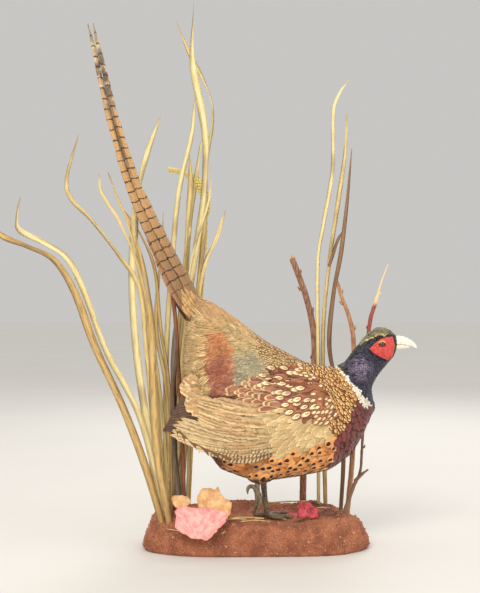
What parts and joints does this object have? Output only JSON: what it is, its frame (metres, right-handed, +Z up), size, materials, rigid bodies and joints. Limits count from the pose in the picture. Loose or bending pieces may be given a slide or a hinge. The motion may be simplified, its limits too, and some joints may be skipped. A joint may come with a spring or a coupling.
{
  "type": "taxidermy pheasant mount",
  "caption": "Life-size mounted cock ring-necked pheasant standing on an oblong earth base, with dried grass blades, bare twigs and autumn leaves fixed to the base.",
  "frame": {"origin": "middle of the flat underside of the base, below the middle of the bird's body", "axes": "+X the way the bird faces, +Y towards its left side, +Z up; the tail rises to -X"},
  "size_m": [0.6505, 0.1812, 0.862],
  "materials": {
    "mantle": "golden-orange and maroon feathers with cream centres and black edges",
    "neck": "blue-black feathers with a green and violet gloss, white ring below",
    "head": "short glossy feathers, bronze-green on the crown",
    "wattle": "bare scarlet skin covered in small bumps",
    "bill": "pale ivory horn, satin",
    "eye": "glossy dark brown",
    "tail": "golden brown feathers with narrow black bars",
    "wing": "sandy olive and cream feathers with brown streaks",
    "primaries": "dark grey-brown flight feathers",
    "thigh": "dark brown feathers",
    "leg": "grey-brown scales",
    "earth": "gritty reddish-brown earth with pale specks",
    "leaf_pink": "dry crinkled leaf, pale pink",
    "leaf_orange": "dry leaf, orange-tan",
    "leaf_red": "dry leaf, red",
    "straw": "dry straw and seed head, tan",
    "grass": "dry grass blades, cream to straw",
    "twig": "bare twigs, brown and dull red"
  },
  "bodies": {
    "root": {"base": "earth", "bill_lower": "bill", "bill_upper": "bill", "eye_left": "eye", "eye_right": "eye", "foot_left": "leg", "foot_right": "leg", "grass_dark": "grass", "grass_left_1": "grass", "grass_left_2": "grass", "grass_left_3": "grass", "grass_left_4": "grass", "grass_left_5": "grass", "grass_left_6": "grass", "grass_left_7": "grass", "grass_left_8": "grass", "grass_left_9": "grass", "grass_red": "grass", "grass_right_1": "grass", "grass_right_2": "grass", "grass_right_3": "grass", "grass_right_4": "grass", "grass_tall_1": "grass", "grass_tall_2": "grass", "grass_tall_3": "grass", "grass_tall_4": "grass", "grass_tall_5": "grass", "grass_tall_6": "grass", "head": "head", "leaf_dark": "leaf_red", "leaf_orange": "leaf_orange", "leaf_pink": "leaf_pink", "leaf_red": "leaf_red", "leaf_tan": "leaf_orange", "neck": "neck", "primaries_left": "primaries", "primaries_right": "primaries", "seed_head": "straw", "straw_long": "straw", "straw_near": "straw", "straw_short": "straw", "tail_centre_left": "tail", "tail_centre_right": "tail", "tail_side_left": "tail", "tail_side_right": "tail", "tarsus_left": "leg", "tarsus_right": "leg", "thigh_left": "thigh", "thigh_right": "thigh", "trunk": "mantle", "twig_broken": "twig", "twig_budded": "twig", "twig_forked": "twig", "wattle_left": "wattle", "wattle_right": "wattle", "wing_left": "wing", "wing_right": "wing"}
  },
  "joints": []
}
